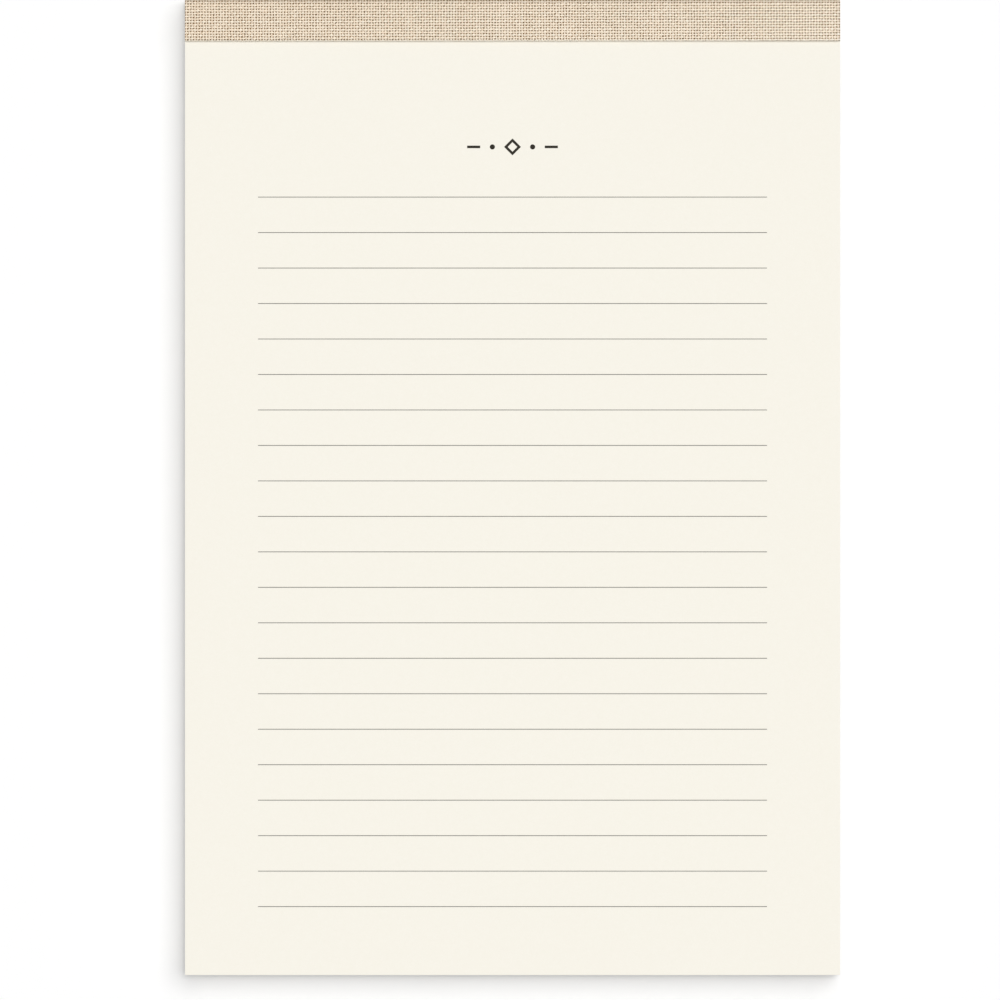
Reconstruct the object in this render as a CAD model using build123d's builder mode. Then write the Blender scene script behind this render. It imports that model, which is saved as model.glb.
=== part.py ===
# A top-bound tear-off notepad: ruled sheets glued at the head on a backing board, with a strip of
# woven cloth wrapped over the glued head from the front sheet to the board.
# Frame: +X across the pad, +Y towards the bound head, +Z out of the front sheet. The origin is
# under the middle of the pad, on the surface that it lies on. All lengths are in millimetres.
import os

from build123d import *

# Outer size of the pad
pad_width = 140.0
pad_length = 208.8

# Sheets, board and the glue that holds them at the head
sheet_count = 60
sheet_thickness = 0.13
board_thickness = 1.0
glue_thickness = 0.25

# Cloth strip: its body, the threads that stand out of it, what it covers on each side and how far
# it is pressed into the board
cloth_thickness = 0.5
thread_height = 0.2
thread_pitch = 0.59
front_flap = 9.17
back_flap = 9.17
press_depth = 0.2

# Printed ruling on the front sheet: below its last line at least this share of a pitch stays clear
ink_thickness = 0.02
line_width = 0.15
line_pitch = 7.5825
side_margin = 15.6
first_line_from_head = 42.53
tail_room_share = 1.5

# Printed mark over the ruling: a lozenge between two dots and two dashes
mark_from_head = 31.8
mark_stroke = 0.55
lozenge_side = 2.55
lozenge_turn = 45
dot_diameter = 1.1
dot_from_middle = 4.3
dash_length = 2.8
dash_from_middle = 8.3

# Heights of the stack, from the surface that the pad lies on
strip_thickness = cloth_thickness + thread_height
cloth_seat = strip_thickness
board_bottom = cloth_seat - press_depth
page_bottom = board_bottom + board_thickness
page_top = page_bottom + sheet_count * sheet_thickness

# Places along the pad, from the tail to the head
tail = -pad_length / 2
head = pad_length / 2
glue_face = head - strip_thickness
sheet_head = glue_face - glue_thickness
sheet_length = sheet_head - tail
front_flap_edge = head - front_flap
back_flap_edge = head - back_flap

# The ruling fills the sheet from its first line down to the clear tail
line_length = pad_width - 2 * side_margin
line_count = int((pad_length - first_line_from_head) / line_pitch - tail_room_share) + 1
ruling_middle = head - first_line_from_head - (line_count - 1) * line_pitch / 2
mark_place = head - mark_from_head

os.makedirs("parts", exist_ok=True)


# Page block: all the sheets, trimmed flush on three sides
with BuildPart() as page_block:
    with BuildSketch(Plane.XY.offset(page_bottom)):
        with Locations((0, tail)):
            Rectangle(pad_width, sheet_length, align=(Align.CENTER, Align.MIN))
    extrude(amount=page_top - page_bottom)
page_block.part.label = "page_block"
export_step(page_block.part, "parts/page_block.step")


# Backing board: its bare back and, at the head, the band that the cloth is pressed into
with BuildPart() as backing_board:
    with BuildSketch(Plane.YZ.offset(-pad_width / 2)):
        with BuildLine():
            Polyline(
                (tail, board_bottom),
                (back_flap_edge, board_bottom),
                (back_flap_edge, cloth_seat),
                (sheet_head, cloth_seat),
                (sheet_head, page_bottom),
                (tail, page_bottom),
                close=True,
            )
        make_face()
    extrude(amount=pad_width)
backing_board.part.label = "backing_board"
export_step(backing_board.part, "parts/backing_board.step")


# Padding glue: the film brushed over the head of the sheets and the board
with BuildPart() as padding_glue:
    with BuildSketch(Plane.XY.offset(cloth_seat)):
        with Locations((0, sheet_head)):
            Rectangle(pad_width, glue_thickness, align=(Align.CENTER, Align.MIN))
    extrude(amount=page_top - cloth_seat)
padding_glue.part.label = "padding_glue"
export_step(padding_glue.part, "parts/padding_glue.step")


def thread_run(start, end, outward):
    """Arcs over the threads on a straight run of the cloth, from start to end of its glued face."""
    count = max(1, round((end - start).length / thread_pitch))
    step = (end - start) / count
    first_valley = start + outward * cloth_thickness
    for i in range(count):
        valley = first_valley + step * i
        ThreePointArc(valley, valley + step / 2 + outward * thread_height, valley + step)


def thread_bend(corner, outward, turned):
    """One arc over the thread that lies round a corner, from one outward direction to the next."""
    crown = corner + (outward + turned).normalized() * strip_thickness
    ThreePointArc(corner + outward * cloth_thickness, crown, corner + turned * cloth_thickness)


# Binding strip: the cloth in section, folded tight over the two corners of the glued head, with
# the cross threads of its weave as ridges that run the width of the pad
up, headward, down = Vector(0, 1), Vector(1, 0), Vector(0, -1)
front_edge = Vector(front_flap_edge, page_top)
front_corner = Vector(glue_face, page_top)
back_corner = Vector(glue_face, cloth_seat)
back_edge = Vector(back_flap_edge, cloth_seat)

with BuildPart() as binding_strip:
    with BuildSketch(Plane.YZ.offset(-pad_width / 2)):
        with BuildLine():
            thread_run(front_edge, front_corner, up)
            thread_bend(front_corner, up, headward)
            thread_run(front_corner, back_corner, headward)
            thread_bend(back_corner, headward, down)
            thread_run(back_corner, back_edge, down)
            Polyline(
                back_edge + down * cloth_thickness,
                back_edge,
                back_corner,
                front_corner,
                front_edge,
                front_edge + up * cloth_thickness,
            )
        make_face()
    extrude(amount=pad_width)
binding_strip.part.label = "binding_strip"
export_step(binding_strip.part, "parts/binding_strip.step")


# Ruled lines: the printed ruling, as bars of ink on the front sheet
with BuildPart() as ruled_lines:
    with BuildSketch(Plane.XY.offset(page_top)):
        with Locations((0, ruling_middle)):
            with GridLocations(line_length, line_pitch, 1, line_count):
                Rectangle(line_length, line_width)
    extrude(amount=ink_thickness)
ruled_lines.part.label = "ruled_lines"
export_step(ruled_lines.part, "parts/ruled_lines.step")


# Heading mark: the printed ornament over the ruling
with BuildPart() as heading_mark:
    with BuildSketch(Plane.XY.offset(page_top)):
        lozenge_hole = lozenge_side - 2 * mark_stroke
        with Locations((0, mark_place)):
            Rectangle(lozenge_side, lozenge_side, rotation=lozenge_turn)
            Rectangle(lozenge_hole, lozenge_hole, rotation=lozenge_turn, mode=Mode.SUBTRACT)
        with Locations((-dot_from_middle, mark_place), (dot_from_middle, mark_place)):
            Circle(dot_diameter / 2)
        with Locations((-dash_from_middle, mark_place), (dash_from_middle, mark_place)):
            Rectangle(dash_length, mark_stroke)
    extrude(amount=ink_thickness)
heading_mark.part.label = "heading_mark"
export_step(heading_mark.part, "parts/heading_mark.step")

print("pad", pad_width, "x", pad_length, "x", round(page_top + strip_thickness, 3), "mm")
print("sheets", sheet_count, "lines", line_count, "of", round(line_length, 2), "mm")
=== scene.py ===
# %% [markdown]
# A tear-off notepad seen from straight above: ruled cream sheets, glued at the head to a board,
# with a strip of woven cloth wrapped over the glued head. The CAD model gives every size, so the
# lesson starts by loading it as a fixed frame, in metres: X runs across the pad, Y towards the
# bound head and Z out of the front sheet.

import math

import bmesh
import bpy
import numpy as np
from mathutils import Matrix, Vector


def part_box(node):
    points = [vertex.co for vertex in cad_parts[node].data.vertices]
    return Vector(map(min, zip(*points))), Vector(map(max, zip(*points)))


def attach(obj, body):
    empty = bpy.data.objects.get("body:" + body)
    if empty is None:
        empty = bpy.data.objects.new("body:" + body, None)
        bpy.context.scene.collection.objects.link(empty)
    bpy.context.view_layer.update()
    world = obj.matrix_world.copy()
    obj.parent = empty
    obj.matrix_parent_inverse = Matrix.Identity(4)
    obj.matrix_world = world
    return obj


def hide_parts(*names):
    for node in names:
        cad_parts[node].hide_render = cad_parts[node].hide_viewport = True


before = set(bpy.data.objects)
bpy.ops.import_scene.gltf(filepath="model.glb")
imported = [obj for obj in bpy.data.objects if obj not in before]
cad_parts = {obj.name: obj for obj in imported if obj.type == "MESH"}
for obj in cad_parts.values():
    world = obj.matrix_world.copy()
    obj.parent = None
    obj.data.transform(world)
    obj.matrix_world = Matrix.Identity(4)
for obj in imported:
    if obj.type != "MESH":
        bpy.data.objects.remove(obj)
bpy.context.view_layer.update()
mm = 0.001
page_low, page_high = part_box("page_block")
strip_low, strip_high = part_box("binding_strip")


def in_mm(lengths):
    """Lengths in millimetres, rounded for printing."""
    return [round(length / mm, 2) for length in lengths]


# %% [markdown]
# Operators act on whatever is selected, and loading leaves the CAD nodes selected. These small
# helpers deselect everything, pick one piece, apply its modifiers and fasten it to the pad. They
# are used for every piece below. Edges are picked by their place, and touch is how near a point
# has to be to count as lying there.

# %% Helpers for picking and finishing a piece
touch = 0.01 * mm


def pick(piece):
    """Select one piece alone, in object mode."""
    if bpy.context.mode != "OBJECT":
        bpy.ops.object.mode_set(mode="OBJECT")
    bpy.ops.object.select_all(action="DESELECT")
    piece.select_set(True)
    bpy.context.view_layer.objects.active = piece


def start_fresh():
    """Leave nothing selected, so that the next primitive stands alone."""
    if bpy.context.mode != "OBJECT":
        bpy.ops.object.mode_set(mode="OBJECT")
    bpy.ops.object.select_all(action="DESELECT")


def apply_modifiers(piece):
    """Make the modifiers part of the mesh, in their order."""
    pick(piece)
    for modifier in list(piece.modifiers):
        bpy.ops.object.modifier_apply(modifier=modifier.name)


def settle(piece, material):
    """Give a finished piece its material and let it ride with the pad."""
    piece.data.materials.clear()
    piece.data.materials.append(material)
    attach(piece, "root")
    count = sum(len(p.vertices) - 2 for p in piece.data.polygons)
    print(piece.name, "triangles", count)


def points_of(piece):
    """The mesh's vertices as an array, one row each."""
    flat = np.empty(len(piece.data.vertices) * 3)
    piece.data.vertices.foreach_get("co", flat)
    return flat.reshape(-1, 3)


def move_points(piece, points):
    """Write the vertices back after they were moved."""
    piece.data.vertices.foreach_set("co", np.ascontiguousarray(points, dtype=np.float32).ravel())
    piece.data.update()


# %% [markdown]
# Colours are given as screen values from 0 to 255, but shaders work on linear light. One helper
# turns a screen colour into a linear one, and another starts a material with its Principled shader
# and hands back short ways to add and join nodes.

# %% Helpers for colours and nodes
def screen(red, green, blue):
    """A linear colour from screen values."""
    linear = []
    for value in (red, green, blue):
        share = value / 255
        linear.append(share / 12.92 if share <= 0.04045 else ((share + 0.055) / 1.055) ** 2.4)
    return (*linear, 1.0)


class Bench:
    """A node tree with short ways to add and join its nodes."""

    def __init__(self, tree):
        self.tree = tree

    def add(self, kind, **settings):
        node = self.tree.nodes.new(kind)
        for name, value in settings.items():
            setattr(node, name, value)
        return node

    def join(self, out, into):
        self.tree.links.new(out, into)

    def math(self, operation, first, second=None):
        node = self.add("ShaderNodeMath", operation=operation)
        for socket, value in zip(node.inputs, (first, second)):
            if value is None:
                continue
            if isinstance(value, (int, float)):
                socket.default_value = value
            else:
                self.join(value, socket)
        return node.outputs[0]

    def spread(self, value, low, high, to_low=0.0, to_high=1.0):
        node = self.add("ShaderNodeMapRange")
        self.join(value, node.inputs["Value"])
        limits = {"From Min": low, "From Max": high, "To Min": to_low, "To Max": to_high}
        for name, number in limits.items():
            node.inputs[name].default_value = number
        return node.outputs["Result"]

    def blend(self, share, first, second, blend_type="MIX"):
        node = self.add("ShaderNodeMix", data_type="RGBA", blend_type=blend_type)
        sockets = {"Factor": share, "A": first, "B": second}
        for socket in node.inputs:
            value = sockets.get(socket.name) if socket.enabled else None
            if value is None:
                continue
            if isinstance(value, (int, float, tuple)):
                socket.default_value = value
            else:
                self.join(value, socket)
        return next(s for s in node.outputs if s.enabled)

    def noise(self, position, scale, detail, roughness=0.5):
        node = self.add("ShaderNodeTexNoise")
        self.join(position, node.inputs["Vector"])
        node.inputs["Scale"].default_value = scale
        node.inputs["Detail"].default_value = detail
        node.inputs["Roughness"].default_value = roughness
        return node.outputs["Fac"]

    def bump(self, height, strength, distance):
        node = self.add("ShaderNodeBump")
        self.join(height, node.inputs["Height"])
        node.inputs["Strength"].default_value = strength
        node.inputs["Distance"].default_value = distance
        return node.outputs["Normal"]

    def group(self, tree, **inputs):
        node = self.add("ShaderNodeGroup")
        node.node_tree = tree
        for name, value in inputs.items():
            socket = node.inputs[name.replace("_", " ")]
            if isinstance(value, (int, float)):
                socket.default_value = value
            else:
                self.join(value, socket)
        return node.outputs


def start_material(name, roughness, specular):
    """A new material: its bench and its Principled shader."""
    material = bpy.data.materials.new(name)
    material.use_nodes = True
    shader = material.node_tree.nodes["Principled BSDF"]
    shader.inputs["Roughness"].default_value = roughness
    shader.inputs["Specular IOR Level"].default_value = specular
    return material, Bench(material.node_tree), shader


print("page colour in linear light", [round(v, 3) for v in screen(248, 244, 233)[:3]])

# %% [markdown]
# Paper, board and the backing of the cloth are all felted fibre. Up close each shows short fibres,
# and from further off a cloudy look that papermakers call formation. Both are one node group with
# its own sizes in each material, so the same grain runs through the whole pad at different scales.

# %% The fibre group
def make_fibre_group():
    tree = bpy.data.node_groups.new("felted fibre", "ShaderNodeTree")
    tree.interface.new_socket("Position", in_out="INPUT", socket_type="NodeSocketVector")
    tree.interface.new_socket("Fibre Scale", in_out="INPUT", socket_type="NodeSocketFloat")
    tree.interface.new_socket("Cloud Scale", in_out="INPUT", socket_type="NodeSocketFloat")
    tree.interface.new_socket("Fibre", in_out="OUTPUT", socket_type="NodeSocketFloat")
    tree.interface.new_socket("Cloud", in_out="OUTPUT", socket_type="NodeSocketFloat")
    bench = Bench(tree)
    inside = bench.add("NodeGroupInput")
    outside = bench.add("NodeGroupOutput")
    fibre = bench.add("ShaderNodeTexNoise")
    fibre.inputs["Detail"].default_value = 4.0
    fibre.inputs["Roughness"].default_value = 0.65
    fibre.inputs["Distortion"].default_value = 0.8
    cloud = bench.add("ShaderNodeTexNoise")
    cloud.inputs["Detail"].default_value = 3.0
    for node, scale in ((fibre, "Fibre Scale"), (cloud, "Cloud Scale")):
        bench.join(inside.outputs["Position"], node.inputs["Vector"])
        bench.join(inside.outputs[scale], node.inputs["Scale"])
    bench.join(fibre.outputs["Fac"], outside.inputs["Fibre"])
    bench.join(cloud.outputs["Fac"], outside.inputs["Cloud"])
    return tree


fibre_group = make_fibre_group()
print("group", fibre_group.name, "with", len(fibre_group.nodes), "nodes")

# %% [markdown]
# The sheets are uncoated cream paper. Seen flat they are almost one even tone, with a faint cloud
# and a fine tooth. Seen from the side each cut edge has its own slight tone, which is what makes a
# stack read as sheets. The height, counted in steps of one sheet, gives a number, and a white
# noise turns the number into a tone that shows only where the face looks sideways.

# %% Cream paper
sheet_pitch = 0.13 * mm
paper_tooth = 0.02 * mm


def make_paper():
    material, bench, shader = start_material("cream paper", 0.92, 0.2)
    position = bench.add("ShaderNodeTexCoord").outputs["Object"]
    grain = bench.group(fibre_group, Position=position, Fibre_Scale=3200.0, Cloud_Scale=900.0)
    toned = bench.blend(
        bench.spread(grain["Cloud"], 0.3, 0.7), screen(248.2, 244.6, 233.5), screen(249.2, 245.6, 235)
    )
    toothed = bench.blend(
        bench.spread(grain["Fibre"], 0.35, 0.75, 0.0, 0.5), toned, screen(244.2, 239.6, 227)
    )
    height = bench.add("ShaderNodeSeparateXYZ")
    bench.join(position, height.inputs[0])
    number = bench.math("FLOOR", bench.math("DIVIDE", height.outputs["Z"], sheet_pitch))
    tone = bench.add("ShaderNodeTexWhiteNoise", noise_dimensions="1D")
    bench.join(number, tone.inputs["W"])
    facing = bench.add("ShaderNodeSeparateXYZ")
    bench.join(bench.add("ShaderNodeNewGeometry").outputs["True Normal"], facing.inputs[0])
    upright = bench.math("ABSOLUTE", facing.outputs["Z"])
    edge = bench.math("LESS_THAN", upright, 0.5)
    own_tone = bench.spread(tone.outputs["Value"], 0.0, 1.0, 0.0, 0.45)
    edge_share = bench.math("MULTIPLY", edge, own_tone)
    colour = bench.blend(edge_share, toothed, screen(214, 204, 182))
    bench.join(colour, shader.inputs["Base Color"])
    bench.join(bench.spread(grain["Fibre"], 0.3, 0.7, 0.88, 0.97), shader.inputs["Roughness"])
    bench.join(bench.bump(grain["Fibre"], 0.25, paper_tooth), shader.inputs["Normal"])
    return material


paper = make_paper()
print("material", paper.name)

# %% [markdown]
# The pad is a guillotined stack, so its edges are flush, but never perfectly: each sheet sits a few
# hundredths of a millimetre in or out, and there is a breath of air between sheets. One sheet is
# modelled from a cube, an Array stacks it, and then every sheet is drawn in by its own small,
# seeded amount. The top sheet stays full size, because the printed lines lie on it.

# %% One sheet
air_gap = 0.008 * mm
side_cuts = 7
sheet_size = page_high - page_low

start_fresh()
bpy.ops.mesh.primitive_cube_add(size=1, location=(0, 0, 0))
sheets = bpy.context.object
sheets.name = "sheets"
sheets.scale = (sheet_size.x, sheet_size.y, sheet_pitch - air_gap)
middle = (page_low + page_high) / 2
sheets.location = (middle.x, middle.y, page_low.z + (sheet_pitch + air_gap) / 2)
bpy.ops.object.transform_apply(location=True, rotation=True, scale=True)

bpy.ops.object.mode_set(mode="EDIT")
bpy.ops.mesh.select_mode(type="EDGE")
bpy.ops.mesh.select_all(action="DESELECT")
net = bmesh.from_edit_mesh(sheets.data)
for edge in net.edges:
    run = edge.verts[0].co - edge.verts[1].co
    edge.select_set(abs(run.z) < air_gap)
bmesh.update_edit_mesh(sheets.data)
bpy.ops.mesh.subdivide(number_cuts=side_cuts)
bpy.ops.object.mode_set(mode="OBJECT")
print("one sheet has", len(sheets.data.polygons), "faces")

# %% Stack the sheets
sheet_count = round(sheet_size.z / sheet_pitch)
pile = sheets.modifiers.new("pile", "ARRAY")
pile.use_relative_offset = False
pile.use_constant_offset = True
pile.constant_offset_displace = (0, 0, sheet_pitch)
pile.count = sheet_count
apply_modifiers(sheets)
print("stacked", sheet_count, "sheets")

# %% Draw each sheet in by its own small amount
draw_shape = 1.6
draw_scale = 0.018 * mm
most_draw = 0.09 * mm
ripple_depth = 0.012 * mm
ripple_length = 9 * mm

chance = np.random.default_rng(11)
spots = points_of(sheets)
numbers = np.floor((spots[:, 2] - page_low.z) / sheet_pitch)
numbers = np.clip(numbers, 0, sheet_count - 1).astype(int)
draw_in = np.minimum(chance.gamma(draw_shape, draw_scale, (sheet_count, 3)), most_draw)
wave = chance.uniform(0, 2 * math.pi, (sheet_count, 3))
draw_in[-1] = 0
ripple = ripple_depth * (1 + np.sin(spots[:, 1] / ripple_length + wave[numbers, 0]))
ripple[numbers == sheet_count - 1] = 0
at_left = spots[:, 0] < page_low.x + touch
at_right = spots[:, 0] > page_high.x - touch
at_tail = spots[:, 1] < page_low.y + touch
spots[at_left, 0] += (draw_in[numbers, 0] + ripple)[at_left]
spots[at_right, 0] -= (draw_in[numbers, 1] + ripple)[at_right]
spots[at_tail, 1] += draw_in[numbers, 2][at_tail]
move_points(sheets, spots)
settle(sheets, paper)
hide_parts("page_block")
print("sheets", sheet_count, "drawn in by up to", round(draw_in.max() / mm, 3), "mm")

# %% [markdown]
# The backing board is grey board, pressed from waste paper: a warm grey with pale and dark flecks
# that never repeat. The CAD solid already has its shape, so it only needs a material. The flecks
# are the same fibre group at a coarse scale, cut off sharply so that only its peaks show.

# %% Grey board
board_tooth = 0.05 * mm


def make_greyboard():
    material, bench, shader = start_material("grey board", 0.95, 0.15)
    position = bench.add("ShaderNodeTexCoord").outputs["Object"]
    grain = bench.group(fibre_group, Position=position, Fibre_Scale=900.0, Cloud_Scale=120.0)
    flecks = bench.group(fibre_group, Position=position, Fibre_Scale=420.0, Cloud_Scale=700.0)
    base = bench.blend(
        bench.spread(grain["Cloud"], 0.3, 0.7), screen(139, 133, 123), screen(152, 146, 135)
    )
    felt = bench.spread(grain["Fibre"], 0.35, 0.7, 0.0, 0.5)
    felted = bench.blend(felt, base, screen(172, 165, 152))
    pale = bench.blend(bench.spread(flecks["Fibre"], 0.66, 0.7), felted, screen(205, 199, 186))
    dark = bench.blend(bench.spread(flecks["Cloud"], 0.33, 0.29), pale, screen(92, 86, 78))
    bench.join(dark, shader.inputs["Base Color"])
    bench.join(bench.bump(grain["Fibre"], 0.4, board_tooth), shader.inputs["Normal"])
    return material


def dress(node_name, material):
    """Put a material on a CAD node, which keeps its shape."""
    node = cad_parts[node_name]
    node.data.materials.clear()
    node.data.materials.append(material)
    print(node_name, "wears", material.name)


dress("backing_board", make_greyboard())

# %% [markdown]
# Padding glue is brushed over the pressed head of the pad and dries to a pale, rubbery film. Only
# its thin edge shows, at the two ends of the cloth. A faint unevenness in colour and gloss is all
# that it needs.

# %% Padding glue
brush_marks = 0.05 * mm


def make_glue():
    material, bench, shader = start_material("padding glue", 0.5, 0.4)
    position = bench.add("ShaderNodeTexCoord").outputs["Object"]
    grain = bench.group(fibre_group, Position=position, Fibre_Scale=1500.0, Cloud_Scale=400.0)
    colour = bench.blend(
        bench.spread(grain["Cloud"], 0.3, 0.7), screen(226, 219, 200), screen(239, 234, 220)
    )
    bench.join(colour, shader.inputs["Base Color"])
    bench.join(bench.spread(grain["Fibre"], 0.3, 0.7, 0.4, 0.62), shader.inputs["Roughness"])
    bench.join(bench.bump(grain["Cloud"], 0.3, brush_marks), shader.inputs["Normal"])
    return material


dress("padding_glue", make_glue())

# %% [markdown]
# The ruling is thin grey ink and the ornament over it is near black. Printed ink sinks into the
# tooth of the paper, so its colour is mottled at the size of the fibres. Both use one function with
# their own colours.

# %% Printing inks
ink_tooth = 0.01 * mm


def make_ink(name, full, worn):
    material, bench, shader = start_material(name, 0.8, 0.2)
    position = bench.add("ShaderNodeTexCoord").outputs["Object"]
    grain = bench.group(fibre_group, Position=position, Fibre_Scale=5200.0, Cloud_Scale=500.0)
    mottle = bench.math("MULTIPLY", grain["Fibre"], grain["Cloud"])
    colour = bench.blend(bench.spread(mottle, 0.15, 0.4), full, worn)
    bench.join(colour, shader.inputs["Base Color"])
    bench.join(bench.spread(grain["Fibre"], 0.3, 0.7, 0.7, 0.9), shader.inputs["Roughness"])
    bench.join(bench.bump(grain["Fibre"], 0.2, ink_tooth), shader.inputs["Normal"])
    return material


dress("ruled_lines", make_ink("rule ink", screen(102, 100, 95), screen(122, 120, 114)))
dress("heading_mark", make_ink("heading ink", screen(36, 33, 26), screen(49, 45, 37)))

# %% [markdown]
# Book cloth is woven cloth on a paper backing. The backing is a thin sheet folded over the head of
# the pad: along the front, down the head and along the back. A profile could be extruded across
# the pad, but a folded plane is nearer to the real thing: two extrusions of its edge carry it over
# the head, Solidify gives it its thickness, and a bevel of the two outer corners rounds the folds.
# Through the open weave it shows as the brown in the holes. Its cut edges are pale like the thread.

# %% The path of the cloth
backing_thickness = 0.49 * mm
weave_thickness = 0.21 * mm
cloth_thickness = backing_thickness + weave_thickness
flap_edge = strip_low.y
glued_head = strip_high.y - cloth_thickness
glued_front = strip_high.z - cloth_thickness
glued_back = strip_low.z + cloth_thickness
flap_run = glued_head - flap_edge
head_run = glued_front - glued_back
half_width = strip_high.x
print("flap and head", in_mm([flap_run, head_run]), "mm")


# %% Backing material
backing_tooth = 0.03 * mm


def make_backing():
    material, bench, shader = start_material("cloth backing", 0.95, 0.1)
    position = bench.add("ShaderNodeTexCoord").outputs["Object"]
    grain = bench.group(fibre_group, Position=position, Fibre_Scale=4000.0, Cloud_Scale=1700.0)
    cloud = bench.spread(grain["Cloud"], 0.35, 0.65)
    base = bench.blend(cloud, screen(102, 80, 52), screen(142, 116, 82))
    felt = bench.spread(grain["Fibre"], 0.4, 0.75, 0.0, 0.35)
    felted = bench.blend(felt, base, screen(157, 131, 96))
    facing = bench.add("ShaderNodeSeparateXYZ")
    bench.join(bench.add("ShaderNodeNewGeometry").outputs["True Normal"], facing.inputs[0])
    sideways = bench.math("GREATER_THAN", bench.math("ABSOLUTE", facing.outputs["X"]), 0.5)
    tailward = bench.math("LESS_THAN", facing.outputs["Y"], -0.5)
    cut = bench.math("MAXIMUM", sideways, tailward)
    streaks = bench.spread(grain["Fibre"], 0.3, 0.7)
    linen = bench.blend(streaks, screen(222, 205, 180), screen(240, 225, 202))
    bench.join(bench.blend(cut, felted, linen), shader.inputs["Base Color"])
    bench.join(bench.bump(grain["Fibre"], 0.4, backing_tooth), shader.inputs["Normal"])
    return material


# %% Fold the backing over the head
backing_cuts = 5

start_fresh()
bpy.ops.mesh.primitive_plane_add(size=1, location=(0, 0, 0))
backing = bpy.context.object
backing.name = "cloth_backing"
backing.scale = (2 * half_width, flap_run, 1)
backing.location = (0, (flap_edge + glued_head) / 2, glued_front)
bpy.ops.object.transform_apply(location=True, rotation=True, scale=True)

bpy.ops.object.mode_set(mode="EDIT")
bpy.ops.mesh.select_mode(type="EDGE")
bpy.ops.mesh.select_all(action="DESELECT")
net = bmesh.from_edit_mesh(backing.data)
for edge in net.edges:
    edge.select_set(all(v.co.y > glued_head - touch for v in edge.verts))
bmesh.update_edit_mesh(backing.data)
bpy.ops.mesh.extrude_region_move(TRANSFORM_OT_translate={"value": (0, 0, -head_run)})
bpy.ops.mesh.extrude_region_move(TRANSFORM_OT_translate={"value": (0, -flap_run, 0)})
bpy.ops.mesh.select_all(action="SELECT")
bpy.ops.mesh.subdivide(number_cuts=backing_cuts)
bpy.ops.mesh.normals_make_consistent(inside=False)
bpy.ops.object.mode_set(mode="OBJECT")

wall = backing.modifiers.new("thickness", "SOLIDIFY")
wall.thickness = backing_thickness
wall.offset = 1.0
wall.use_even_offset = True
apply_modifiers(backing)

# %% Round the two folds
fold_radius = 0.98 * backing_thickness
fold_steps = 6

bpy.ops.object.mode_set(mode="EDIT")
bpy.ops.mesh.select_mode(type="EDGE")
bpy.ops.mesh.select_all(action="DESELECT")
net = bmesh.from_edit_mesh(backing.data)
outer_head = glued_head + backing_thickness - touch
outer_front = glued_front + backing_thickness - touch
outer_back = glued_back - backing_thickness + touch
for edge in net.edges:
    along_fold = abs(edge.verts[0].co.x - edge.verts[1].co.x) > touch
    at_fold = all(v.co.y > outer_head and not outer_back < v.co.z < outer_front for v in edge.verts)
    edge.select_set(along_fold and at_fold)
bmesh.update_edit_mesh(backing.data)
bpy.ops.mesh.bevel(offset=fold_radius, segments=fold_steps)
bpy.ops.object.mode_set(mode="OBJECT")
settle(backing, make_backing())
print("backing box", in_mm(backing.bound_box[0]), in_mm(backing.bound_box[6]))

# %% [markdown]
# The cloth is a plain weave: every thread goes over one crossing thread and under the next, and
# its neighbour does the opposite. So there are only four kinds of thread: two sets of warp, which
# run over the head, and two sets of weft, which run across the pad. Each set is one piece. A short
# wave over two crossings is extruded from a flattened ring, one Array makes it a thread and a
# second Array makes it a set, all of it laid out flat before it is folded.

# %% Sizes of the weave
warp_count = 230
weft_count = 47
first_warp = 0.336 * mm
warp_pitch = 0.6079 * mm
first_weft = 0.09 * mm
weft_pitch = 0.5895 * mm
weft_skew = 0.1625 * mm
thread_thickness = 0.105 * mm
warp_width = 0.30 * mm
weft_width = 0.35 * mm
thread_sides = 6
float_share = 0.27
merge_reach = 0.002 * mm
rise = (weave_thickness - thread_thickness) / 2
weave_middle = backing_thickness + weave_thickness / 2
bend_run = weave_middle * math.pi / 2
cloth_run = 2 * flap_run + head_run + 2 * bend_run
last_weft = first_weft + (weft_count - 1) * weft_pitch
print("cloth run and last weft", in_mm([cloth_run, last_weft]), "mm")


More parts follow.
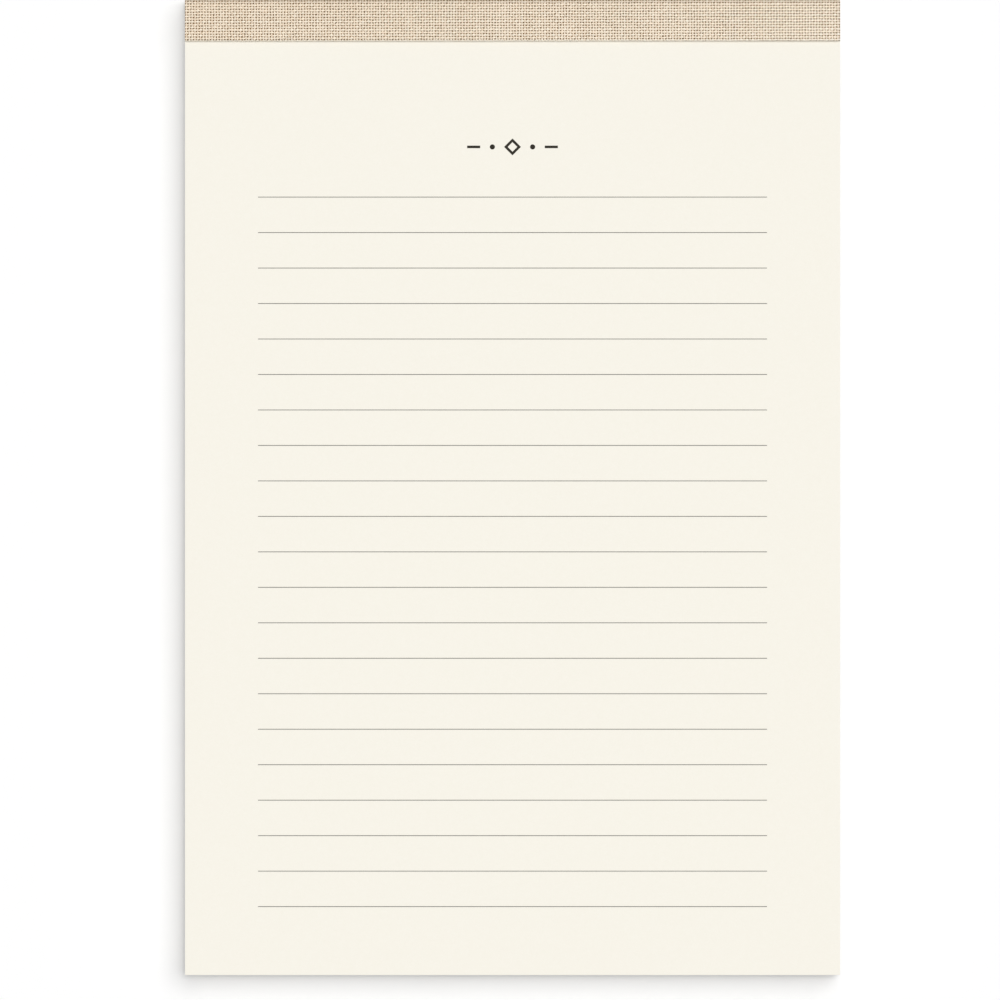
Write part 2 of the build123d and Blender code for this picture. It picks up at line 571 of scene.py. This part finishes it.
# %% One set of threads, laid flat
def lay_threads(name, width, pitch, repeats, threads, gap, first_up, spare):
    """A set of wavy threads along X, two crossings to a repeat and gap apart in Y, from the origin.
    A spare length lets the thread run on over one more crossing."""
    start_fresh()
    bpy.ops.mesh.primitive_circle_add(
        vertices=thread_sides, radius=width / 2, fill_type="NOTHING", rotation=(0, math.pi / 2, 0)
    )
    piece = bpy.context.object
    piece.name = name
    bpy.ops.object.transform_apply(location=True, rotation=True, scale=True)
    ring = points_of(piece)
    ring[:, 2] *= thread_thickness / np.ptp(ring[:, 2])
    ring[:, 1] *= width / np.ptp(ring[:, 1])
    lift = rise if first_up else -rise
    ring += (-float_share * pitch, 0, weave_middle + lift)
    move_points(piece, ring)

    bpy.ops.object.mode_set(mode="EDIT")
    bpy.ops.mesh.select_all(action="SELECT")
    flat_step = 2 * float_share * pitch
    slope_step = pitch - flat_step
    wave = [(flat_step, 0), (slope_step, -2 * lift), (flat_step, 0), (slope_step, 2 * lift)]
    for step_x, step_z in wave:
        bpy.ops.mesh.extrude_region_move(TRANSFORM_OT_translate={"value": (step_x, 0, step_z)})
    bpy.ops.object.mode_set(mode="OBJECT")

    for title, offset, count in (
        ("crossings", (2 * pitch, 0, 0), repeats),
        ("threads", (0, gap, 0), threads),
    ):
        array = piece.modifiers.new(title, "ARRAY")
        array.use_relative_offset = False
        array.use_constant_offset = True
        array.constant_offset_displace = offset
        array.count = count
        array.use_merge_vertices = title == "crossings"
        array.merge_threshold = merge_reach
    apply_modifiers(piece)
    bpy.ops.object.mode_set(mode="EDIT")
    if spare:
        bpy.ops.mesh.select_mode(type="EDGE")
        bpy.ops.mesh.select_all(action="DESELECT")
        net = bmesh.from_edit_mesh(piece.data)
        far = max(vert.co.x for vert in net.verts) - touch
        for edge in net.edges:
            edge.select_set(all(vert.co.x > far for vert in edge.verts))
        bmesh.update_edit_mesh(piece.data)
        bpy.ops.mesh.extrude_region_move(TRANSFORM_OT_translate={"value": (flat_step, 0, 0)})
    bpy.ops.mesh.select_all(action="SELECT")
    bpy.ops.mesh.fill_holes(sides=thread_sides)
    bpy.ops.mesh.normals_make_consistent(inside=False)
    bpy.ops.object.mode_set(mode="OBJECT")
    print(name, "laid flat with", len(piece.data.vertices), "points")
    return piece


warps_in_set = warp_count // 2
picks_in_set = [(weft_count + 1) // 2, weft_count // 2]
crossings = weft_count // 2
warps = []
for name, first_up in (("warp_one", True), ("warp_two", False)):
    gap = 2 * warp_pitch
    warps.append(lay_threads(name, warp_width, weft_pitch, crossings, warps_in_set, gap, first_up, True))
wefts = []
for name, picks, first_up in zip(("weft_one", "weft_two"), picks_in_set, (False, True)):
    gap = 2 * weft_pitch
    wefts.append(lay_threads(name, weft_width, warp_pitch, warps_in_set, picks, gap, first_up, False))

# %% [markdown]
# Straight from the Arrays every thread is the same, and the cloth would look printed. Spun thread
# is thick and thin by turns, and it wanders a little between its neighbours. Smooth random curves,
# one for each thread, give it both, with their steps counted in crossings. A thread also swells
# where it crosses on top, and its crowns lean to one side. The weft is slightly skewed, so each
# warp starts at its own place, and a spare length lets it reach the edge of the flap. While the
# threads still lie flat, the same pass writes two UV maps: one for the pattern of the fibres, and
# one that gives every thread its own strip for baking. It also keeps two numbers for every point:
# how high it lies in the weave, and how far it is along the cloth.

# %% Smooth random curves
chance = np.random.default_rng(23)


def slow_curves(count, length, step, place, thread):
    """Smooth random values from -1 to 1 along each thread, with a new value every step."""
    knots = chance.uniform(-1, 1, (count, int(length / step) + 3))
    spot = np.clip(place / step, 0, knots.shape[1] - 2)
    knot = spot.astype(int)
    part = spot - knot
    part = part * part * (3 - 2 * part)
    return knots[thread, knot] * (1 - part) + knots[thread, knot + 1] * part


def mark_points(piece, name, values):
    """Keep one number for every point, for the material to read."""
    mark = piece.data.attributes.new(name, "FLOAT", "POINT")
    mark.data.foreach_set("value", values.astype(np.float32))


# %% Give the threads their thick and thin places
crown_swell = 0.15
crown_lean = 0.0122 * mm
girth_by_thread = 0.06
girth_slow = 0.08
girth_slow_step = 2.3
girth_quick = 0.14
girth_quick_step = 0.7
girth_in_height = 0.4
sway_quick = 0.041 * mm
sway_quick_step = 0.8
sway_slow = 0.014 * mm
sway_slow_step = 7.0
longest_trim = 0.06 * mm
end_room = 0.05 * mm


def loosen(piece, width, pitch, gap, threads, length, starts, spare, lean):
    """Make one flat set uneven, each thread with its own start and its crowns leaning by so much.
    Returns each point's thread, place along it and turn around it."""
    spots = points_of(piece)
    thread = np.clip(np.round(spots[:, 1] / gap), 0, threads - 1).astype(int)
    beside = spots[:, 1] - thread * gap
    above = spots[:, 2] - weave_middle
    level = np.sign(above) * rise
    above = above - level
    turn = np.arctan2(above / thread_thickness, beside / width) / (2 * math.pi) % 1.0

    along = spots[:, 0] + starts[thread]
    near_end = spots[:, 0] < 0
    far_end = spots[:, 0] > spots[:, 0].max() - touch
    if not spare:
        level[far_end] *= -1
    cut = chance.uniform(0.0, longest_trim, (threads, 2))
    along = np.minimum(along, length - cut[thread, 1] - end_room)
    along[near_end] = cut[thread, 0][near_end]
    along[far_end] = length - cut[thread, 1][far_end]

    girth = 1 + crown_swell * np.sign(level)
    girth += girth_by_thread * chance.normal(0, 1, threads).clip(-2, 2)[thread]
    girth += girth_slow * slow_curves(threads, length, girth_slow_step * pitch, along, thread)
    girth += girth_quick * slow_curves(threads, length, girth_quick_step * pitch, along, thread)
    sway = sway_quick * slow_curves(threads, length, sway_quick_step * pitch, along, thread)
    sway += sway_slow * slow_curves(threads, length, sway_slow_step * pitch, along, thread)
    from_crossing = spots[:, 0] - np.round(spots[:, 0] / pitch) * pitch
    sway += lean * np.sign(level) * np.sin(math.pi * from_crossing / pitch)
    height = weave_middle + level + above * (1 - girth_in_height + girth_in_height * girth)
    height = np.minimum(height, cloth_thickness)
    move_points(piece, np.column_stack([along, thread * gap + sway + beside * girth, height]))
    mark_points(piece, "height_share", (height - backing_thickness) / weave_thickness)
    return thread, along, turn


# %% Two UV maps for a set of threads
most_turns = 1.2
lay_fill = 0.9
end_margin = 0.015
strip_margin = 0.06
cap_middle = 0.006
cap_reach = 0.004
cap_height = 0.4


def map_threads(piece, thread, along, turn, threads, length):
    """One map in thread units for the fibre pattern, and one with a strip for every thread.
    A face over the seam runs on past one turn, and the two cut ends lie beside the strip."""
    mesh = piece.data
    corners = np.empty(len(mesh.loops), dtype=int)
    mesh.loops.foreach_get("vertex_index", corners)
    starts = np.empty(len(mesh.polygons), dtype=int)
    mesh.polygons.foreach_get("loop_start", starts)
    sizes = np.empty(len(mesh.polygons), dtype=int)
    mesh.polygons.foreach_get("loop_total", sizes)
    face = np.repeat(np.arange(len(sizes)), sizes)
    around = turn[corners].copy()
    low = np.minimum.reduceat(around, starts)
    high = np.maximum.reduceat(around, starts)
    crosses = (high - low)[face] > 0.5
    around[crosses & (around < 0.5)] += 1.0
    number = thread[corners]
    place = along[corners] / length
    is_end = (sizes == thread_sides)[face]

    lay = mesh.uv_layers.new(name="thread_lay")
    lay_spots = np.column_stack([along[corners] / weft_width, number + lay_fill * around / most_turns])
    lay.data.foreach_set("uv", lay_spots.astype(np.float32).ravel())

    bake = mesh.uv_layers.new(name="OFBake")
    end_turn = 2 * math.pi * turn[corners]
    u = end_margin + (1 - 2 * end_margin) * place
    u = np.where(is_end & (place < 0.5), cap_middle + cap_reach * np.sin(end_turn), u)
    u = np.where(is_end & (place > 0.5), 1 - cap_middle + cap_reach * np.sin(end_turn), u)
    v = strip_margin + (1 - 2 * strip_margin) * around / most_turns
    v = np.where(is_end, 0.5 + cap_height * np.cos(end_turn), v)
    bake_spots = np.column_stack([u, (number + v) / threads])
    bake.data.foreach_set("uv", bake_spots.astype(np.float32).ravel())


# %% [markdown]
# Now the flat cloth is folded. A point of the cloth has a place along the developed strip and a
# height over the glued face. On the front, the head and the back that is a straight shift, and at
# the two corners the strip turns through a quarter circle about the pad's edge, so the outer
# threads take the long way round and the inner ones the short way, as on the real pad.

# %% Fold flat points over the head
def fold(across, place, height):
    """Points of the flat cloth, carried over the front, the head and the back."""
    front_end = flap_run
    head_start = front_end + bend_run
    head_end = head_start + head_run
    back_start = head_end + bend_run
    y = np.empty_like(place)
    z = np.empty_like(place)

    on = place < front_end
    y[on] = flap_edge + place[on]
    z[on] = glued_front + height[on]

    on = (place >= front_end) & (place < head_start)
    turn = (place[on] - front_end) / bend_run * math.pi / 2
    y[on] = glued_head + height[on] * np.sin(turn)
    z[on] = glued_front + height[on] * np.cos(turn)

    on = (place >= head_start) & (place < head_end)
    y[on] = glued_head + height[on]
    z[on] = glued_front - (place[on] - head_start)

    on = (place >= head_end) & (place < back_start)
    turn = (place[on] - head_end) / bend_run * math.pi / 2
    y[on] = glued_head + height[on] * np.cos(turn)
    z[on] = glued_back - height[on] * np.sin(turn)

    on = place >= back_start
    y[on] = glued_head - (place[on] - back_start)
    z[on] = glued_back - height[on]
    return np.column_stack([across, y, z])


# %% Loosen, map and fold the four sets
def weft_shift(across):
    """How far the slightly skewed weft has climbed towards the head at a place across the pad."""
    return weft_skew * across / half_width


for number, piece in enumerate(warps):
    shift = first_warp + number * warp_pitch - half_width
    starts = first_weft + weft_shift(shift + 2 * warp_pitch * np.arange(warps_in_set))
    lay = loosen(
        piece, warp_width, weft_pitch, 2 * warp_pitch, warps_in_set, cloth_run, starts, True, -crown_lean
    )
    map_threads(piece, *lay, warps_in_set, cloth_run)
    spots = points_of(piece)
    mark_points(piece, "run", spots[:, 0] / mm)
    move_points(piece, fold(spots[:, 1] + shift, spots[:, 0], spots[:, 2]))
    print(piece.name, "folded over the head")

for number, piece in enumerate(wefts):
    picks = picks_in_set[number]
    starts = np.full(picks, first_warp)
    lay = loosen(
        piece, weft_width, warp_pitch, 2 * weft_pitch, picks, 2 * half_width, starts, False, crown_lean
    )
    map_threads(piece, *lay, picks, 2 * half_width)
    spots = points_of(piece)
    across = spots[:, 0] - half_width
    place = spots[:, 1] + number * weft_pitch + first_weft + weft_shift(across)
    place = np.clip(place, 0, cloth_run)
    mark_points(piece, "run", place / mm)
    move_points(piece, fold(across, place, spots[:, 2]))
    print(piece.name, "folded over the head")

# %% [markdown]
# The thread is undyed, linen-like yarn. Each thread has its own tone, it drifts along its length,
# and the twisted fibres show as fine slanting streaks. One node group reads the thread map, whose
# second coordinate counts the threads, and both kinds of thread use it with their own colours.
# The numbers below say how far the noise moves on along a thread, around it and from one thread
# to the next.

# %% The twisted yarn group
drift_rate = 0.35
drift_jump = 7.3
twist_round = 4.0
twist_along = 1.1
twist_fineness = 2.6
twist_rate = 0.5
twist_jump = 3.1


def make_yarn_group():
    tree = bpy.data.node_groups.new("twisted yarn", "ShaderNodeTree")
    tree.interface.new_socket("Lay", in_out="INPUT", socket_type="NodeSocketVector")
    tree.interface.new_socket("Seed", in_out="INPUT", socket_type="NodeSocketFloat")
    for name in ("Tone", "Drift", "Twist"):
        tree.interface.new_socket(name, in_out="OUTPUT", socket_type="NodeSocketFloat")
    bench = Bench(tree)
    inside = bench.add("NodeGroupInput")
    outside = bench.add("NodeGroupOutput")
    parts = bench.add("ShaderNodeSeparateXYZ")
    bench.join(inside.outputs["Lay"], parts.inputs[0])
    number = bench.math("FLOOR", parts.outputs["Y"])
    around = bench.math("FRACT", parts.outputs["Y"])
    tone = bench.add("ShaderNodeTexWhiteNoise", noise_dimensions="1D")
    bench.join(bench.math("ADD", number, inside.outputs["Seed"]), tone.inputs["W"])
    bench.join(tone.outputs["Value"], outside.inputs["Tone"])

    drift_spot = bench.add("ShaderNodeCombineXYZ")
    bench.join(bench.math("MULTIPLY", parts.outputs["X"], drift_rate), drift_spot.inputs["X"])
    bench.join(bench.math("MULTIPLY", number, drift_jump), drift_spot.inputs["Y"])
    bench.join(inside.outputs["Seed"], drift_spot.inputs["Z"])
    bench.join(bench.noise(drift_spot.outputs[0], 1.0, 3.0, 0.6), outside.inputs["Drift"])

    turned = bench.math("MULTIPLY", around, twist_round)
    moved = bench.math("MULTIPLY", parts.outputs["X"], twist_along)
    slant = bench.math("ADD", turned, moved)
    twist_spot = bench.add("ShaderNodeCombineXYZ")
    bench.join(bench.math("MULTIPLY", slant, twist_fineness), twist_spot.inputs["X"])
    bench.join(bench.math("MULTIPLY", parts.outputs["X"], twist_rate), twist_spot.inputs["Y"])
    bench.join(bench.math("MULTIPLY", number, twist_jump), twist_spot.inputs["Z"])
    bench.join(bench.noise(twist_spot.outputs[0], 1.0, 3.0, 0.6), outside.inputs["Twist"])
    return tree


yarn_group = make_yarn_group()
print("group", yarn_group.name, "with", len(yarn_group.nodes), "nodes")

# %% [markdown]
# The colour of the yarn is built up in layers, each a blend over the last: the thread's own tone,
# its drift and its streaks, then the layers below. Where a thread dips under its neighbour it is
# browner, a painted shade in the hollows of the weave. The whole strip is a little cloudy and
# browner towards the left. The two folds are darker, a painted shade where the cloth turns away
# from the light, and the cut ends are greyer, a painted shade in the tone of the cloth's edge
# shadow. The warp is a little darker than the weft, a painted shade that leaves the weft crowns the
# brighter ones.

# %% Yarn for each set of threads
twist_depth = 0.04 * mm
# How far the painted shade at the folds reaches, and where the painted shade at the cut ends starts and
# stops.
fold_shade_reach = 0.95 * mm
cut_shade_start = 0.4 * mm
cut_shade_end = 0.1 * mm


def make_yarn(name, seed, low, high):
    material, bench, shader = start_material(name, 0.9, 0.15)
    lay = bench.add("ShaderNodeUVMap", uv_map="thread_lay").outputs["UV"]
    yarn = bench.group(yarn_group, Lay=lay, Seed=seed)
    base = bench.blend(yarn["Tone"], low, high)
    drift = bench.spread(yarn["Drift"], 0.35, 0.7, 0.0, 0.32)
    drifted = bench.blend(drift, base, screen(242, 218, 192))
    streak = bench.spread(yarn["Twist"], 0.5, 0.7, 0.0, 0.2)
    streaked = bench.blend(streak, drifted, screen(238, 215, 187))
    height = bench.add("ShaderNodeAttribute", attribute_name="height_share").outputs["Fac"]
    # Painted shade: the yarn is darker and browner where the thread lies low in the weave.
    dip_shade_share = bench.spread(height, 0.95, 0.45)
    dip_shaded = bench.blend(dip_shade_share, streaked, (0.91, 0.83, 0.73, 1.0), "MULTIPLY")
    position = bench.add("ShaderNodeTexCoord").outputs["Object"]
    cloud = bench.spread(bench.noise(position, 70.0, 3.0), 0.35, 0.65)
    cloudy = bench.blend(cloud, dip_shaded, (0.98, 0.982, 0.975, 1.0), "MULTIPLY")
    across = bench.add("ShaderNodeSeparateXYZ")
    bench.join(position, across.inputs[0])
    to_left = bench.spread(across.outputs["X"], half_width, -half_width)
    browner = bench.blend(to_left, cloudy, (0.966, 0.949, 0.925, 1.0), "MULTIPLY")
    run = bench.add("ShaderNodeAttribute", attribute_name="run").outputs["Fac"]
    half_run = cloth_run / 2 / mm
    half_head = (head_run + bend_run) / 2 / mm
    from_middle = bench.math("ABSOLUTE", bench.math("SUBTRACT", run, half_run))
    from_fold = bench.math("ABSOLUTE", bench.math("SUBTRACT", from_middle, half_head))
    # Painted shade: the yarn darkens near the two folds, where the cloth turns away from the light.
    fold_shade = bench.spread(from_fold, fold_shade_reach / mm, 0.0)
    fold_shaded = bench.blend(fold_shade, browner, (0.60, 0.57, 0.55, 1.0), "MULTIPLY")
    # Painted shade: the yarn turns greyer at the cut ends, in the tone of the cloth's edge shadow.
    cut_end_shade = bench.spread(from_middle, half_run - cut_shade_start / mm, half_run - cut_shade_end / mm, 0.0, 0.6)
    bench.join(bench.blend(cut_end_shade, fold_shaded, screen(232, 226, 212)), shader.inputs["Base Color"])
    bench.join(bench.bump(yarn["Twist"], 0.35, twist_depth), shader.inputs["Normal"])
    return material


smooth_angle = math.radians(60)
seed_step = 31.0
# The warp's darker tones are painted shade, so that the weft crowns read as the brighter, lit ones.
yarn_tones_warp_shaded = {
    "warp": (screen(247, 232, 214), screen(249, 239, 225)),
    "weft": (screen(253, 242, 223), screen(254, 248, 234)),
}
for number, piece in enumerate(warps + wefts):
    pick(piece)
    bpy.ops.object.shade_smooth_by_angle(angle=smooth_angle)
    kind, which = piece.name.split("_")
    yarn = make_yarn(f"linen yarn {kind} {which}", seed_step * (number + 1), *yarn_tones_warp_shaded[kind])
    settle(piece, yarn)
    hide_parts("binding_strip")
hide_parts("binding_strip")

# %% [markdown]
# The pad lies on a white table. The table is white to the camera and still takes the pad's shadow:
# about a quarter of its shader is plain white light, which only camera, mirror and glass rays see,
# and the rest is a matt surface that the lamps light. A larger share would make the shadow paler.
# The world is dim for the object and white for the camera.

# %% Shaders that differ by who looks
def sight_share(bench, amount):
    """That share for rays that the viewer sees, straight or in a reflection, and none for others."""
    path = bench.add("ShaderNodeLightPath").outputs
    seen = bench.math("MAXIMUM", path["Is Camera Ray"], path["Is Glossy Ray"])
    seen = bench.math("MAXIMUM", seen, path["Is Transmission Ray"])
    return bench.math("MULTIPLY", seen, amount)


def mix_by_sight(bench, amount, lit, seen):
    """The lit shader, with that share of it replaced by the seen one for the viewer's rays."""
    mixer = bench.add("ShaderNodeMixShader")
    bench.join(sight_share(bench, amount), mixer.inputs[0])
    bench.join(lit, mixer.inputs[1])
    bench.join(seen, mixer.inputs[2])
    return mixer.outputs[0]


# %% White table
table_size = 6
table_drop = 0.02 * mm
glow_share = 0.26

start_fresh()
bpy.ops.mesh.primitive_plane_add(size=table_size, location=(0, 0, -table_drop))
table = bpy.context.object
table.name = "white_table"
table_material = bpy.data.materials.new("white table")
table_material.use_nodes = True
table_material.node_tree.nodes.clear()
bench = Bench(table_material.node_tree)
matt = bench.add("ShaderNodeBsdfDiffuse")
matt.inputs["Color"].default_value = (1, 1, 1, 1)
glow = bench.add("ShaderNodeEmission")
glow.inputs["Color"].default_value = (1, 1, 1, 1)
glow.inputs["Strength"].default_value = 1.0
surface = bench.add("ShaderNodeOutputMaterial").inputs["Surface"]
bench.join(mix_by_sight(bench, glow_share, matt.outputs[0], glow.outputs[0]), surface)
table.data.materials.append(table_material)
print("table", table_size, "m wide")

# %% Studio world
sky_level = 0.25
world = bpy.data.worlds.new("studio")
bpy.context.scene.world = world
world.use_nodes = True
world.node_tree.nodes.clear()
bench = Bench(world.node_tree)
dim = bench.add("ShaderNodeBackground")
dim.inputs["Strength"].default_value = sky_level
white = bench.add("ShaderNodeBackground")
white.inputs["Strength"].default_value = 1.0
for sky in (dim, white):
    sky.inputs["Color"].default_value = (1, 1, 1, 1)
bench.join(
    mix_by_sight(bench, 1.0, dim.outputs[0], white.outputs[0]),
    bench.add("ShaderNodeOutputWorld").inputs["Surface"],
)
print("world lights the pad at", sky_level, "and is white to the camera")

# %% [markdown]
# The photograph's shadow lies to the left of the pad and below it: dark and tight at the edge, then
# fading over about five millimetres. Two soft lamps give that. A smaller one almost overhead makes
# the tight part, and a broad one makes the fade. Both lean to the upper right, and a little more up
# than right, to match the widths of the shadow on its two sides. Together with the sky they light
# a flat page to the level at which its colour renders as written.

# %% Two soft lamps
def soft_lamp(name, lean, heading, spread, level):
    """A sun that leans by so many degrees towards a heading, in degrees from +X towards +Y, and
    gives a flat page that level."""
    lean = math.radians(lean)
    heading = math.radians(heading)
    aside = math.sin(lean)
    direction = Vector((aside * math.cos(heading), aside * math.sin(heading), math.cos(lean)))
    start_fresh()
    bpy.ops.object.light_add(type="SUN", location=direction)
    lamp = bpy.context.object
    lamp.name = name
    lamp.rotation_euler = direction.to_track_quat("Z", "Y").to_euler()
    lamp.data.angle = math.radians(spread)
    lamp.data.energy = math.pi * level / math.cos(lean)
    print(name, "energy", round(lamp.data.energy, 3))


soft_lamp("overhead_lamp", lean=6.9, heading=51.2, spread=10.3, level=0.188)
soft_lamp("corner_lamp", lean=20.7, heading=47.0, spread=46.0, level=0.562)

# %% [markdown]
# The camera looks straight down through a long lens, so that the pad's sides stay hidden, as in the
# photograph. There the pad is 655 of 1000 pixels wide, and its middle lies a little right of and
# above the image's middle, which sets the distance and the place.

# %% Camera
photo_pixels = 1000
pad_pixels = 655
pixels_right = 12.5
pixels_up = 13.44
pixel = 2 * half_width / pad_pixels
lens = 300.0

start_fresh()
bpy.ops.object.camera_add(rotation=(0, 0, 0))
camera = bpy.context.object
camera.name = "camera_above"
camera.data.lens = lens
camera.data.sensor_width = 36.0
camera.data.dof.use_dof = False
distance = photo_pixels * pixel * lens / camera.data.sensor_width
camera.location = (-pixels_right * pixel, -pixels_up * pixel, page_high.z + distance)
bpy.context.scene.camera = camera
bpy.context.scene.view_settings.view_transform = "Standard"
print("camera", round(distance, 3), "m above the page")

bpy.context.view_layer.update()
